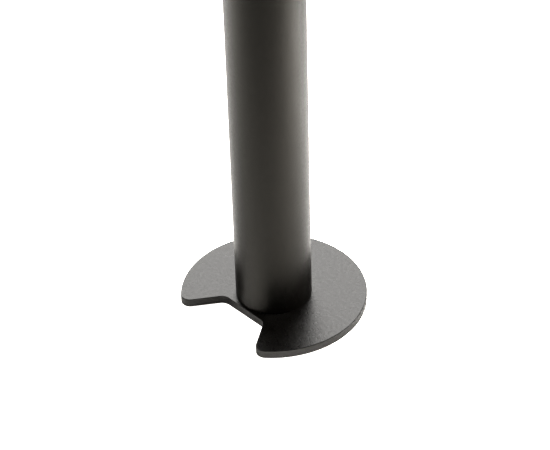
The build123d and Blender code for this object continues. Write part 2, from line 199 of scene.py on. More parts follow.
def soft_light(name, round_from_camera, distance, height, width, depth, brightness, mirrored):
    data = bpy.data.lights.new(name, "AREA")
    data.shape = "RECTANGLE"
    data.size = width
    data.size_y = depth
    # A lamp's power is its brightness times its area times pi.
    data.energy = brightness * width * depth * math.pi
    lamp = bpy.data.objects.new(name, data)
    bpy.context.scene.collection.objects.link(lamp)
    angle = math.radians(CAMERA_ROUND + round_from_camera)
    lamp.location = (math.sin(angle) * distance, -math.cos(angle) * distance, height)
    aim = Vector((0.0, 0.0, AIM_HEIGHT)) - lamp.location
    lamp.rotation_euler = aim.to_track_quat("-Z", "Y").to_euler()
    lamp.visible_camera = False
    lamp.visible_glossy = mirrored
    return lamp


for settings in LIGHTS:
    soft_light(*settings)
print("lamps", [settings[0] for settings in LIGHTS])


# %% Air and display
SKY_BRIGHTNESS = 0.13
SKY_SEEN = 1.0              # the paper behind the object, towards the camera only
EXPOSURE = 0.26
DEPTH_OF_BLACK = 0.84       # under 1, the dark tones sink, as a camera's contrast makes them


def studio_air():
    world = bpy.data.worlds.new("studio_air")
    world.use_nodes = True
    tree = world.node_tree
    air = tree.nodes["Background"]
    air.inputs["Color"].default_value = (1.0, 1.0, 1.0, 1.0)
    strength = seen_by_camera(tree, SKY_SEEN, SKY_BRIGHTNESS)
    tree.links.new(strength, air.inputs["Strength"])
    bpy.context.scene.world = world


studio_air()
display = bpy.context.scene.view_settings
display.view_transform = "Standard"
display.exposure = EXPOSURE
display.gamma = DEPTH_OF_BLACK
print("sky", SKY_BRIGHTNESS, "exposure", EXPOSURE)

# %% [markdown]
# ## Effects that several finishes share
# Powder coat, plated steel and brushed sheet are told apart by small things: the orange
# peel of a baked powder, the lines of a brush, a lighter edge where feet and keys have
# rubbed, a little dust. Each effect is one node group with named inputs, built once. A
# group gives back only heights, tones and masks, and the material decides what they change.


# %% Helpers for node trees
def new_group(name, kind, inputs, outputs):
    """An empty node group. Sockets are given as (name, type, default)."""
    group = bpy.data.node_groups.new(name, kind)
    for label, socket_type, default in inputs:
        socket = group.interface.new_socket(name=label, in_out="INPUT", socket_type=socket_type)
        if default is not None:
            socket.default_value = default
    for label, socket_type in outputs:
        group.interface.new_socket(name=label, in_out="OUTPUT", socket_type=socket_type)
    start = group.nodes.new("NodeGroupInput")
    end = group.nodes.new("NodeGroupOutput")
    return group, start, end


def feed(tree, socket, value):
    """Links a node's output to a socket, or writes a number or colour on the socket."""
    if isinstance(value, bpy.types.NodeSocket):
        tree.links.new(value, socket)
    elif value is not None:
        socket.default_value = value


def calculate(tree, operation, first, second=None, third=None):
    node = tree.nodes.new("ShaderNodeMath")
    node.operation = operation
    for socket, value in zip(node.inputs, (first, second, third)):
        feed(tree, socket, value)
    return node.outputs[0]


def noise(tree, vector, scale, detail=2.0, roughness=0.5):
    node = tree.nodes.new("ShaderNodeTexNoise")
    feed(tree, node.inputs["Vector"], vector)
    feed(tree, node.inputs["Scale"], scale)
    node.inputs["Detail"].default_value = detail
    node.inputs["Roughness"].default_value = roughness
    return node.outputs[0]


def spread(tree, value, low, high, new_low=0.0, new_high=1.0):
    """Smoothly maps low..high to new_low..new_high."""
    node = tree.nodes.new("ShaderNodeMapRange")
    node.interpolation_type = "SMOOTHSTEP"
    for label, number in (("Value", value), ("From Min", low), ("From Max", high),
                          ("To Min", new_low), ("To Max", new_high)):
        feed(tree, node.inputs[label], number)
    return node.outputs[0]


def blend_colour(tree, mask, first, second):
    node = tree.nodes.new("ShaderNodeMix")
    node.data_type = "RGBA"
    feed(tree, node.inputs["Factor"], mask)
    feed(tree, node.inputs["A"], first)
    feed(tree, node.inputs["B"], second)
    return node.outputs["Result"]


# %% [markdown]
# **Orange peel.** Powder melts into a skin with shallow waves a millimetre or two wide, and
# a textured powder adds a finer grain on top. Two noises of different size, mixed, give the
# height. Their share decides whether the skin reads as smooth satin or as fine texture.

# %% Group: orange peel
PER_METRE = 1000.0            # sizes are given in millimetres, and noise scales per metre
TONE_RANGE = (0.35, 0.65)     # the heights that become a tone of 0 and of 1


def make_orange_peel():
    inputs = [
        ("Vector", "NodeSocketVector", None),
        ("Peel size", "NodeSocketFloat", 1.6),
        ("Grain size", "NodeSocketFloat", 0.5),
        ("Grain share", "NodeSocketFloat", 0.4),
    ]
    outputs = [("Height", "NodeSocketFloat"), ("Tone", "NodeSocketFloat")]
    group, start, end = new_group("orange_peel", "ShaderNodeTree", inputs, outputs)
    point = start.outputs["Vector"]
    peel_scale = calculate(group, "DIVIDE", PER_METRE, start.outputs["Peel size"])
    grain_scale = calculate(group, "DIVIDE", PER_METRE, start.outputs["Grain size"])
    peel = noise(group, point, peel_scale, detail=1.0)
    grain = noise(group, point, grain_scale, detail=2.0, roughness=0.6)
    share = start.outputs["Grain share"]
    rest = calculate(group, "SUBTRACT", 1.0, share)
    waves = calculate(group, "MULTIPLY", peel, rest)
    height = calculate(group, "MULTIPLY_ADD", grain, share, waves)
    feed(group, end.inputs["Height"], height)
    feed(group, end.inputs["Tone"], spread(group, height, *TONE_RANGE))
    return group


orange_peel = make_orange_peel()
print("effect", orange_peel.name)

# %% [markdown]
# **Rubbed edges.** Every outer edge of the plate and of the head is rounded. On a flat face
# the surface points straight up or level, and only on a rounding does it point between the
# two. So the slant of the surface finds the edges, with no painting, and a noise breaks the
# wear up so that it comes and goes.


# %% Group: rubbed edge
EDGE_SLANT = (0.35, 0.95)     # 0 on flat and upright faces, 1 on a slope of 45 degrees
WEAR_FADE = 0.12              # how softly a rubbed patch ends


def make_rubbed_edge():
    inputs = [
        ("Vector", "NodeSocketVector", None),
        ("Normal", "NodeSocketVector", None),
        ("Patch size", "NodeSocketFloat", 9.0),
        ("Cover", "NodeSocketFloat", 0.5),
    ]
    group, start, end = new_group("rubbed_edge", "ShaderNodeTree", inputs,
                                  [("Mask", "NodeSocketFloat")])
    parts = group.nodes.new("ShaderNodeSeparateXYZ")
    feed(group, parts.inputs[0], start.outputs["Normal"])
    upward = calculate(group, "ABSOLUTE", parts.outputs["Z"])
    # The product of upward and level parts is largest on a slope of 45 degrees.
    upward_squared = calculate(group, "MULTIPLY", upward, upward)
    level = calculate(group, "SQRT", calculate(group, "SUBTRACT", 1.0, upward_squared))
    slant = calculate(group, "MULTIPLY", calculate(group, "MULTIPLY", upward, level), 2.0)
    on_edge = spread(group, slant, *EDGE_SLANT)
    scale = calculate(group, "DIVIDE", PER_METRE, start.outputs["Patch size"])
    patches = noise(group, start.outputs["Vector"], scale, detail=6.0, roughness=0.7)
    threshold = calculate(group, "SUBTRACT", 1.0, start.outputs["Cover"])
    upper = calculate(group, "ADD", threshold, WEAR_FADE)
    worn = spread(group, patches, threshold, upper)
    feed(group, end.inputs["Mask"], calculate(group, "MULTIPLY", on_edge, worn))
    return group


rubbed_edge = make_rubbed_edge()
print("effect", rubbed_edge.name)

# %% [markdown]
# **Dust and ash.** It settles on what faces up. A thin uneven veil there is enough: on black
# it lifts the colour a little and takes away some shine.


# %% Group: settled dust
FACES_UP = (0.5, 0.95)        # the upward parts of a normal where dust begins and is full
VEIL_RANGE = (0.35, 0.75)
DOT_RANGE = (0.16, 0.05)      # a speck is the middle of a cell
FEW_RANGE = (0.5, 0.7)        # specks lie only where a slow noise is high


def make_settled_dust():
    inputs = [
        ("Vector", "NodeSocketVector", None),
        ("Normal", "NodeSocketVector", None),
        ("Patch size", "NodeSocketFloat", 30.0),
        ("Speck size", "NodeSocketFloat", 1.2),
    ]
    outputs = [("Veil", "NodeSocketFloat"), ("Specks", "NodeSocketFloat")]
    group, start, end = new_group("settled_dust", "ShaderNodeTree", inputs, outputs)
    parts = group.nodes.new("ShaderNodeSeparateXYZ")
    feed(group, parts.inputs[0], start.outputs["Normal"])
    faces_up = spread(group, parts.outputs["Z"], *FACES_UP)
    point = start.outputs["Vector"]
    patch_scale = calculate(group, "DIVIDE", PER_METRE, start.outputs["Patch size"])
    speck_scale = calculate(group, "DIVIDE", PER_METRE, start.outputs["Speck size"])
    patches = noise(group, point, patch_scale, detail=5.0, roughness=0.6)
    veil = spread(group, patches, *VEIL_RANGE)
    dots = group.nodes.new("ShaderNodeTexVoronoi")
    feed(group, dots.inputs["Vector"], point)
    feed(group, dots.inputs["Scale"], speck_scale)
    dot = spread(group, dots.outputs["Distance"], *DOT_RANGE)
    few = spread(group, noise(group, point, patch_scale, detail=3.0), *FEW_RANGE)
    specks = calculate(group, "MULTIPLY", dot, few)
    feed(group, end.inputs["Veil"], calculate(group, "MULTIPLY", veil, faces_up))
    feed(group, end.inputs["Specks"], calculate(group, "MULTIPLY", specks, faces_up))
    return group


settled_dust = make_settled_dust()
print("effect", settled_dust.name)

# %% [markdown]
# **Brushed lines.** A brush or a rolling mill leaves long lines one way. The same noise does
# it when the point that it reads is squeezed along that way first.


# %% Group: brushed lines
STREAK_RANGE = (0.3, 0.7)
STREAK_WIDTH = 7.0            # streaks are this many times as wide as lines


def make_brushed_lines():
    inputs = [
        ("Vector", "NodeSocketVector", None),
        ("Squeeze", "NodeSocketVector", (0.03, 1.0, 1.0)),
        ("Line width", "NodeSocketFloat", 0.25),
    ]
    outputs = [("Height", "NodeSocketFloat"), ("Streaks", "NodeSocketFloat")]
    group, start, end = new_group("brushed_lines", "ShaderNodeTree", inputs, outputs)
    squeeze = group.nodes.new("ShaderNodeVectorMath")
    squeeze.operation = "MULTIPLY"
    feed(group, squeeze.inputs[0], start.outputs["Vector"])
    feed(group, squeeze.inputs[1], start.outputs["Squeeze"])
    scale = calculate(group, "DIVIDE", PER_METRE, start.outputs["Line width"])
    wide_scale = calculate(group, "DIVIDE", scale, STREAK_WIDTH)
    lines = noise(group, squeeze.outputs[0], scale, detail=3.0, roughness=0.65)
    streaks = noise(group, squeeze.outputs[0], wide_scale, detail=2.0)
    feed(group, end.inputs["Height"], lines)
    feed(group, end.inputs["Streaks"], spread(group, streaks, *STREAK_RANGE))
    return group


brushed_lines = make_brushed_lines()
print("effect", brushed_lines.name)

# %% [markdown]
# ## Finishes
# Every finish is built from the same few moves: place an effect with its own values, read
# the place and the direction of the surface, tilt the surface by a height, and give the
# finished material to a piece. Each move is a helper, so that a recipe reads as a recipe.


# %% Helpers for finishes
def place_group(tree, group, values):
    """Puts a shader node group in a material, with its own values."""
    node = tree.nodes.new("ShaderNodeGroup")
    node.node_tree = group
    for label, value in values.items():
        feed(tree, node.inputs[label], value)
    return node.outputs


def piece_coordinates(tree):
    node = tree.nodes.new("ShaderNodeTexCoord")
    return node.outputs["Object"], node.outputs["Normal"]


def bump(tree, height, distance, strength=1.0):
    """A height in metres that tilts the surface."""
    node = tree.nodes.new("ShaderNodeBump")
    node.inputs["Strength"].default_value = strength
    node.inputs["Distance"].default_value = distance
    feed(tree, node.inputs["Height"], height)
    return node.outputs["Normal"]


def finish_node(name, material):
    """Gives a piece of the frame its finish, in every slot of its mesh."""
    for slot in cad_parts[name].material_slots:
        slot.material = material


# %% [markdown]
# ## Black powder coat
# The real coats are nearly pure black, and all that shows is shine. The plate has a
# fine-texture powder and the tube a smoother satin one, so both come from one recipe with
# other numbers. The colour stays a touch warm. The dust and the rubbed edges are lighter
# and rougher than the coat, and they are faint: the thing is kept clean.

# %% Black powder coat
COAT_BLACK = (0.0010, 0.0008, 0.0006, 1.0)
PLATE_SHEEN = (1.0, 0.98, 0.945, 1.0)
TUBE_SHEEN = (1.0, 0.95, 0.85, 1.0)
EDGE_GREY = (0.030, 0.029, 0.027, 1.0)
DUST_GREY = (0.050, 0.047, 0.042, 1.0)
DUST_MATT = 0.25              # how much rougher full dust makes the coat
RUB_MATT = 0.10               # and how much a rubbed edge


def black_powder(name, sheen, roughness, gloss_index, skin, mottle, wear, dust, wall_matt=0.0):
    """Skin is (peel size, grain size, grain share, depth). Mottle is how much the roughness
    varies, and wall_matt how much rougher the upright faces are, which are cut edges."""
    material, shader = new_material(name, COAT_BLACK, roughness)
    shader.inputs["IOR"].default_value = gloss_index
    shader.inputs["Specular Tint"].default_value = sheen
    tree = material.node_tree
    point, normal = piece_coordinates(tree)
    peel_size, grain_size, grain_share, depth = skin
    peel = place_group(tree, orange_peel, {"Vector": point, "Peel size": peel_size,
                                           "Grain size": grain_size, "Grain share": grain_share})
    worn = place_group(tree, rubbed_edge, {"Vector": point, "Normal": normal, "Cover": wear})
    veil = place_group(tree, settled_dust, {"Vector": point, "Normal": normal})
    settled = calculate(tree, "ADD", veil["Veil"], veil["Specks"])
    dusty = calculate(tree, "MULTIPLY", settled, dust)
    colour = blend_colour(tree, dusty, COAT_BLACK, DUST_GREY)
    colour = blend_colour(tree, worn["Mask"], colour, EDGE_GREY)
    feed(tree, shader.inputs["Base Color"], colour)
    parts = tree.nodes.new("ShaderNodeSeparateXYZ")
    feed(tree, parts.inputs[0], normal)
    upright = calculate(tree, "SUBTRACT", 1.0, calculate(tree, "ABSOLUTE", parts.outputs["Z"]))
    uneven = calculate(tree, "MULTIPLY_ADD", peel["Tone"], 2 * mottle, roughness - mottle)
    uneven = calculate(tree, "MULTIPLY_ADD", dusty, DUST_MATT, uneven)
    uneven = calculate(tree, "MULTIPLY_ADD", worn["Mask"], RUB_MATT, uneven)
    uneven = calculate(tree, "MULTIPLY_ADD", upright, wall_matt, uneven)
    feed(tree, shader.inputs["Roughness"], uneven)
    feed(tree, shader.inputs["Normal"], bump(tree, peel["Height"], depth))
    return material


plate_coat = black_powder("plate_powder", PLATE_SHEEN, roughness=0.31, gloss_index=1.590,
                          skin=(4.5, 1.7, 0.6, 0.00037), mottle=0.055, wear=0.40, dust=0.05,
                          wall_matt=0.20)
tube_coat = black_powder("tube_powder", TUBE_SHEEN, roughness=0.38, gloss_index=1.36,
                         skin=(3.4, 1.4, 0.5, 0.00008), mottle=0.04, wear=0.30, dust=0.0)
head_coat = black_powder("head_powder", TUBE_SHEEN, roughness=0.32, gloss_index=1.42,
                         skin=(2.6, 0.9, 0.4, 0.00005), mottle=0.04, wear=0.46, dust=0.18)
finish_node("base_plate", plate_coat)
for name in ("head_ring", "top_plate"):
    finish_node(name, head_coat)
print("powder coats", plate_coat.name, tube_coat.name, head_coat.name)

# %% [markdown]
# ## Rubber and moulded plastic
# The mat under the plate, the gasket under the head's flange and the liner's guide are all
# black and matt, and differ in their skin: the mat has a pebbled skin, the gasket is smooth,
# and the guide has the even sparkle of a spark-eroded mould.

# %% Rubber and moulded plastic
RUBBER_BLACK = (0.013, 0.013, 0.012, 1.0)
RUBBER_BLOOM = (0.055, 0.055, 0.052, 1.0)
BLOOM_SCALE = 40.0
BLOOM_RANGE = (0.4, 0.8)
SKIN_MATT = 0.06              # how far the roughness varies to each side


def matt_black(name, roughness, skin_size, grain_share, depth, bloom):
    """Bloom is how much of the pale film shows that rubber and plastic get with age."""
    material, shader = new_material(name, RUBBER_BLACK, roughness)
    tree = material.node_tree
    point = piece_coordinates(tree)[0]
    skin = place_group(tree, orange_peel, {"Vector": point, "Peel size": skin_size,
                                           "Grain size": skin_size / 3, "Grain share": grain_share})
    clouds = noise(tree, point, BLOOM_SCALE, detail=5.0, roughness=0.65)
    film = spread(tree, clouds, *BLOOM_RANGE, 0.0, bloom)
    feed(tree, shader.inputs["Base Color"], blend_colour(tree, film, RUBBER_BLACK, RUBBER_BLOOM))
    uneven = calculate(tree, "MULTIPLY_ADD", skin["Tone"], 2 * SKIN_MATT, roughness - SKIN_MATT)
    feed(tree, shader.inputs["Roughness"], uneven)
    feed(tree, shader.inputs["Normal"], bump(tree, skin["Height"], depth))
    return material


finish_node("floor_mat", matt_black("mat_rubber", 0.75, 1.8, 0.3, 0.00025, 0.6))
finish_node("head_gasket", matt_black("gasket_rubber", 0.60, 4.0, 0.2, 0.00005, 0.3))
finish_node("liner_guide", matt_black("guide_plastic", 0.50, 0.9, 0.8, 0.00003, 0.15))
print("matt blacks on the mat, the gasket and the guide")

# %% [markdown]
# ## Plated steel
# Zinc plate is a thin grey skin with a bluish cast and cloudy patches from the bath. A large
# soft noise shifts the colour and the shine together, which is what makes it look plated and
# not painted. Keys and the cam rub their edges bright.

# %% Plated steel
ZINC_BLUE = (0.50, 0.52, 0.55, 1.0)
ZINC_STRAW = (0.46, 0.44, 0.38, 1.0)
BRIGHT_EDGE = (0.72, 0.72, 0.70, 1.0)
CLOUD_RANGE = (0.35, 0.7)
CLOUD_MATT = 0.12             # from clear plate to full cloud
CLEAR_POLISH = 0.04           # how much smoother than its roughness the clear plate is
RUB_POLISH = 0.10             # and how much smoother a rubbed edge is than the plate


def plated_steel(name, cool, warm, roughness, cloud_size, depth):
    material, shader = new_material(name, cool, roughness, metallic=1.0)
    tree = material.node_tree
    point, normal = piece_coordinates(tree)
    clouds = spread(tree, noise(tree, point, PER_METRE / cloud_size, detail=4.0), *CLOUD_RANGE)
    skin = place_group(tree, orange_peel, {"Vector": point, "Peel size": 1.2, "Grain size": 0.3,
                                           "Grain share": 0.5})
    worn = place_group(tree, rubbed_edge, {"Vector": point, "Normal": normal, "Cover": 0.5})
    colour = blend_colour(tree, clouds, cool, warm)
    feed(tree, shader.inputs["Base Color"], blend_colour(tree, worn["Mask"], colour, BRIGHT_EDGE))
    uneven = calculate(tree, "MULTIPLY_ADD", clouds, CLOUD_MATT, roughness - CLEAR_POLISH)
    uneven = calculate(tree, "MULTIPLY_ADD", worn["Mask"], -RUB_POLISH, uneven)
    feed(tree, shader.inputs["Roughness"], uneven)
    feed(tree, shader.inputs["Normal"], bump(tree, skin["Height"], depth))
    return material


zinc_steel = plated_steel("zinc_steel", ZINC_BLUE, ZINC_STRAW, 0.38, cloud_size=14.0, depth=0.00004)
for name in ("foot_ring", "base_screws", "top_ring", "bayonet_pins"):
    finish_node(name, zinc_steel)
for name in ("lock_nut", "lock_cam", "cam_screw"):
    finish_node(name, zinc_steel)
print("plated", zinc_steel.name)

# %% Satin chrome
CHROME = (0.42, 0.43, 0.44, 1.0)
CHROME_HAZE = (0.33, 0.325, 0.31, 1.0)
lock_chrome = plated_steel("lock_chrome", CHROME, CHROME_HAZE, 0.20, cloud_size=6.0, depth=0.00001)
for name in ("lock_body", "lock_barrel"):
    finish_node(name, lock_chrome)
print("plated", lock_chrome.name)

# %% [markdown]
# ## Brushed and rolled sheet
# The stubbing grid and the chute are brushed stainless steel, with lines along the grid's
# length. The liner is rolled aluminium, with lines round it. Both are the one recipe with
# the brush turned. Where cigarettes are put out, soot darkens the metal: it lies in patches
# round the middle of the grid, and low down in the liner, where ash falls.

# %% Recipe for brushed and rolled sheet
SOOT = (0.035, 0.030, 0.026, 1.0)
SOOT_SCALE = 160.0
SOOT_RANGE = (0.42, 0.68)
SOOT_CORE = 0.15              # the share of its reach within which soot is thickest
SOOT_MATT = 0.30
STREAK_MATT = 0.05            # how far the roughness varies to each side
LINE_DEPTH = 0.00002


def brushed_sheet(name, pale, dark, roughness, squeeze, line_width, soot):
    """Soot is (centre, reach, strength): where it is thickest, and how far it spreads."""
    material, shader = new_material(name, pale, roughness, metallic=1.0)
    tree = material.node_tree
    point, normal = piece_coordinates(tree)
    lines = place_group(tree, brushed_lines, {"Vector": point, "Squeeze": squeeze,
                                              "Line width": line_width})
    worn = place_group(tree, rubbed_edge, {"Vector": point, "Normal": normal, "Cover": 0.45})
    colour = blend_colour(tree, lines["Streaks"], pale, dark)
    colour = blend_colour(tree, worn["Mask"], colour, BRIGHT_EDGE)
    centre, reach, strength = soot
    distance = tree.nodes.new("ShaderNodeVectorMath")
    distance.operation = "DISTANCE"
    feed(tree, distance.inputs[0], point)
    feed(tree, distance.inputs[1], centre)
    near = spread(tree, distance.outputs["Value"], reach, reach * SOOT_CORE, 0.0, strength)
    patches = spread(tree, noise(tree, point, SOOT_SCALE, detail=6.0, roughness=0.7), *SOOT_RANGE)
    sooty = calculate(tree, "MULTIPLY", near, patches)
    feed(tree, shader.inputs["Base Color"], blend_colour(tree, sooty, colour, SOOT))
    uneven = calculate(tree, "MULTIPLY_ADD", lines["Streaks"], 2 * STREAK_MATT, roughness - STREAK_MATT)
    uneven = calculate(tree, "MULTIPLY_ADD", sooty, SOOT_MATT, uneven)
    feed(tree, shader.inputs["Roughness"], uneven)
    feed(tree, shader.inputs["Metallic"], calculate(tree, "SUBTRACT", 1.0, sooty))
    feed(tree, shader.inputs["Normal"], bump(tree, lines["Height"], LINE_DEPTH))
    return material


# %% Brushed stainless steel
grid_low, grid_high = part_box("stub_grid")
grid_centre = (grid_low + grid_high) / 2
STAINLESS = (0.40, 0.395, 0.38, 1.0)
STAINLESS_DARK = (0.24, 0.235, 0.22, 1.0)
grid_steel = brushed_sheet("grid_steel", STAINLESS, STAINLESS_DARK, 0.36, squeeze=(0.03, 1.0, 1.0),
                           line_width=0.22, soot=(tuple(grid_centre), 0.032, 1.0))
for name in ("stub_grid", "grid_screws", "top_plate_screws", "butt_chute"):
    finish_node(name, grid_steel)
print("sheet", grid_steel.name)

# %% Rolled aluminium
ALUMINIUM = (0.50, 0.51, 0.52, 1.0)
ALUMINIUM_DARK = (0.40, 0.41, 0.42, 1.0)
liner_sheet = brushed_sheet("liner_sheet", ALUMINIUM, ALUMINIUM_DARK, 0.42, squeeze=(0.04, 0.04, 1.0),
                            line_width=0.6, soot=((0.0, 0.0, liner_end), 0.12, 0.25))
for name in ("liner_collar", "liner_rivets", "liner_tube", "liner_bottom"):
    finish_node(name, liner_sheet)
print("sheet", liner_sheet.name)

# %% [markdown]
# ## Pieces grown with Geometry Nodes
# What repeats, or follows a path, is grown by a node tree: its sizes are inputs, so one
# change remakes every copy. Each tree ends the same way, with real faces and a material,
# and the result is kept as a plain mesh.


# %% Helpers for grown pieces
def add(tree, kind, values):
    """A node with its inputs fed."""
    node = tree.nodes.new(kind)
    for label, value in values.items():
        feed(tree, node.inputs[label], value)
    return node


def end_tree(tree, end, geometry, finish):
    smooth = add(tree, "GeometryNodeSetShadeSmooth", {"Geometry": geometry}).outputs[0]
    real = add(tree, "GeometryNodeRealizeInstances", {"Geometry": smooth}).outputs[0]
    finished = add(tree, "GeometryNodeSetMaterial", {"Geometry": real, "Material": finish})
    feed(tree, end.inputs["Geometry"], finished.outputs[0])


def grow(name, tree, values, body, section=None):
    """Runs a tree with its inputs set, and keeps the result as a plain mesh on a body."""
    seed = bpy.data.objects.new(name + "_seed", section or bpy.data.meshes.new(name + "_seed"))
    bpy.context.scene.collection.objects.link(seed)
    modifier = seed.modifiers.new("grow", "NODES")
    modifier.node_group = tree
    for item in tree.interface.items_tree:
        if item.in_out == "INPUT" and item.name in values:
            modifier[item.identifier] = values[item.name]
    graph = bpy.context.evaluated_depsgraph_get()
    mesh = bpy.data.meshes.new_from_object(seed.evaluated_get(graph), depsgraph=graph)
    bpy.data.objects.remove(seed)
    mesh.name = name
    piece = bpy.data.objects.new(name, mesh)
    bpy.context.scene.collection.objects.link(piece)
    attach(piece, body)
    print(name, "faces", len(mesh.polygons))
    return piece


# %% [markdown]
# **The tube.** It is the piece that is looked at most, and it has to be truly round: a seam
# or a flat shows at once in a gloss coat. Its wall's section, with the two ends broken by a
# file, is a closed outline, and the tree turns it round the column. Extra points beside each
# rounded edge keep the long walls straight in their shading. It replaces the plain tube of
# the frame, which has a seam in its shading.

# %% Section of a turned wall
EDGE_STEPS = 4
STRAIGHT_STEP = 0.6           # of the rounding, from its end to the extra point beside it


def rounded_section(inner, outer, bottom, top, edge):
    """A wall's section as (radius, level) points, clockwise, with its corners rounded."""
    corners = [(outer - edge, top - edge, 90), (outer - edge, bottom + edge, 0),
               (inner + edge, bottom + edge, -90), (inner + edge, top - edge, 180)]
    points = []
    for radius, level, first in corners:
        turns = [math.radians(first - 90 * step / EDGE_STEPS) for step in range(EDGE_STEPS + 1)]
        arc = [(radius + edge * math.cos(turn), level + edge * math.sin(turn)) for turn in turns]
        # One point before the arc and one after it, each on its straight side.
        for turn, way, place in ((turns[0], -STRAIGHT_STEP, 0),
                                 (turns[-1], STRAIGHT_STEP, len(arc) + 1)):
            corner = arc[0] if place == 0 else arc[-1]
            arc.insert(place, (corner[0] + way * edge * math.sin(turn),
                               corner[1] - way * edge * math.cos(turn)))
        points += arc
    return points


def section_mesh(name, points, path_radius):
    """The section laid flat for the tree: across is the distance from the path, down is up."""
    mesh = bpy.data.meshes.new(name)
    corners = [(radius - path_radius, -level, 0.0) for radius, level in points]
    edges = [(index, (index + 1) % len(corners)) for index in range(len(corners))]
    mesh.from_pydata(corners, edges, [])
    return mesh


# %% Tree that turns a section round the column
def make_turned_section():
    inputs = [
        ("Section", "NodeSocketGeometry", None),
        ("Path radius", "NodeSocketFloat", 0.05),
        ("Segments", "NodeSocketInt", 64),
        ("Finish", "NodeSocketMaterial", None),
    ]
    tree, start, end = new_group("turned_section", "GeometryNodeTree", inputs,
                                 [("Geometry", "NodeSocketGeometry")])
    path = add(tree, "GeometryNodeCurvePrimitiveCircle", {"Resolution": start.outputs["Segments"],
                                                          "Radius": start.outputs["Path radius"]})
    section = add(tree, "GeometryNodeMeshToCurve", {"Mesh": start.outputs["Section"]})
    turned = add(tree, "GeometryNodeCurveToMesh", {"Curve": path.outputs[0],
                                                   "Profile Curve": section.outputs[0]})
    end_tree(tree, end, turned.outputs[0], start.outputs["Finish"])
    return tree


turned_section = make_turned_section()
print("tree", turned_section.name)

# %% The turned tube
TUBE_SEGMENTS = 256
TUBE_EDGE = 0.0005
inner_wall = min(math.hypot(v.co.x, v.co.y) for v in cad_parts["column_tube"].data.vertices)
wall_points = rounded_section(inner_wall, tube_radius, tube_foot, tube_top, TUBE_EDGE)
wall_section = section_mesh("column_wall_section", wall_points, tube_radius)
column_wall = grow("column_wall", turned_section,
                   {"Path radius": tube_radius, "Segments": TUBE_SEGMENTS, "Finish": tube_coat},
                   "column", wall_section)
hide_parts("column_tube")

# %% [markdown]
# **Pressed rims.** A punched hole has a sharp edge that would cut fingers, so the holes of a
# stubbing grid are pressed up into low rims. They could be modelled one by one. Here a grid
# of points is shifted row by row, as the holes are, and each point gets one small ring.

# %% Tree for the pressed rims
ROW_SHARE = math.sin(math.radians(60))    # staggered rows lie this share of a pitch apart
SAME_COLUMN = 0.1                         # two whole numbers this near are the same
RIM_SIDES = 20
WIRE_SIDES = 6


def make_pressed_rims():
    inputs = [
        ("Columns", "NodeSocketInt", 11),
        ("Rows", "NodeSocketInt", 3),
        ("Pitch", "NodeSocketFloat", 0.005),
        ("Hole radius", "NodeSocketFloat", 0.0015),
        ("Rim radius", "NodeSocketFloat", 0.0003),
        ("Centre", "NodeSocketVector", None),
        ("Finish", "NodeSocketMaterial", None),
    ]
    tree, start, end = new_group("pressed_rims", "GeometryNodeTree", inputs,
                                 [("Geometry", "NodeSocketGeometry")])
    give = start.outputs
    row_gap = calculate(tree, "MULTIPLY", give["Pitch"], ROW_SHARE)
    last_column = calculate(tree, "SUBTRACT", give["Columns"], 1.0)
    last_row = calculate(tree, "SUBTRACT", give["Rows"], 1.0)
    wide = calculate(tree, "MULTIPLY", give["Pitch"], last_column)
    deep = calculate(tree, "MULTIPLY", row_gap, last_row)
    places = add(tree, "GeometryNodeMeshGrid", {"Size X": wide, "Size Y": deep,
                                                "Vertices X": give["Columns"],
                                                "Vertices Y": give["Rows"]}).outputs[0]
    # The grid counts its points along Y first, so the rest of index / rows is the row.
    index = tree.nodes.new("GeometryNodeInputIndex").outputs[0]
    row = calculate(tree, "MODULO", index, give["Rows"])
    odd = calculate(tree, "MODULO", row, 2.0)
    column = calculate(tree, "FLOOR", calculate(tree, "DIVIDE", index, give["Rows"]))
    is_last = calculate(tree, "COMPARE", column, last_column, SAME_COLUMN)
    half_pitch = calculate(tree, "DIVIDE", give["Pitch"], 2.0)
    shift = add(tree, "ShaderNodeCombineXYZ", {"X": calculate(tree, "MULTIPLY", odd, half_pitch)})
    moved = add(tree, "GeometryNodeSetPosition", {"Geometry": places, "Offset": shift.outputs[0]})
    # Odd rows are shifted by half a pitch, so their last hole would lie past the grid.
    extra = calculate(tree, "MULTIPLY", odd, is_last)
    kept = add(tree, "GeometryNodeDeleteGeometry", {"Geometry": moved.outputs[0], "Selection": extra})
    path_radius = calculate(tree, "ADD", give["Hole radius"], give["Rim radius"])
    path = add(tree, "GeometryNodeCurvePrimitiveCircle", {"Resolution": RIM_SIDES,
                                                          "Radius": path_radius})
    wire = add(tree, "GeometryNodeCurvePrimitiveCircle", {"Resolution": WIRE_SIDES,
                                                          "Radius": give["Rim radius"]})
    rim = add(tree, "GeometryNodeCurveToMesh", {"Curve": path.outputs[0],
                                                "Profile Curve": wire.outputs[0]})
    rims = add(tree, "GeometryNodeInstanceOnPoints", {"Points": kept.outputs[0],
                                                      "Instance": rim.outputs[0]})
    placed = add(tree, "GeometryNodeTransform", {"Geometry": rims.outputs[0],
                                                 "Translation": give["Centre"]})
    end_tree(tree, end, placed.outputs[0], give["Finish"])
    return tree


pressed_rims = make_pressed_rims()
print("tree", pressed_rims.name)

# %% Pressed rims of the stubbing grid
HOLE_PITCH = 0.0046
HOLE_RADIUS = 0.0015
HOLE_COLUMNS = 11
HOLE_ROWS = 3
RIM_RADIUS = 0.00028
grow("grid_rims", pressed_rims,
     {"Columns": HOLE_COLUMNS, "Rows": HOLE_ROWS, "Pitch": HOLE_PITCH, "Hole radius": HOLE_RADIUS,
      "Rim radius": RIM_RADIUS, "Centre": (grid_centre.x, grid_centre.y, grid_high.z),
      "Finish": grid_steel}, "head")

# %% [markdown]
# **Rolled beads.** A thin sheet tube dents easily. Rolled beads stiffen it: low round ribs
# that run round the liner. One bead is a flattened circle swept round the tube, and a line
# of points repeats it down the liner.

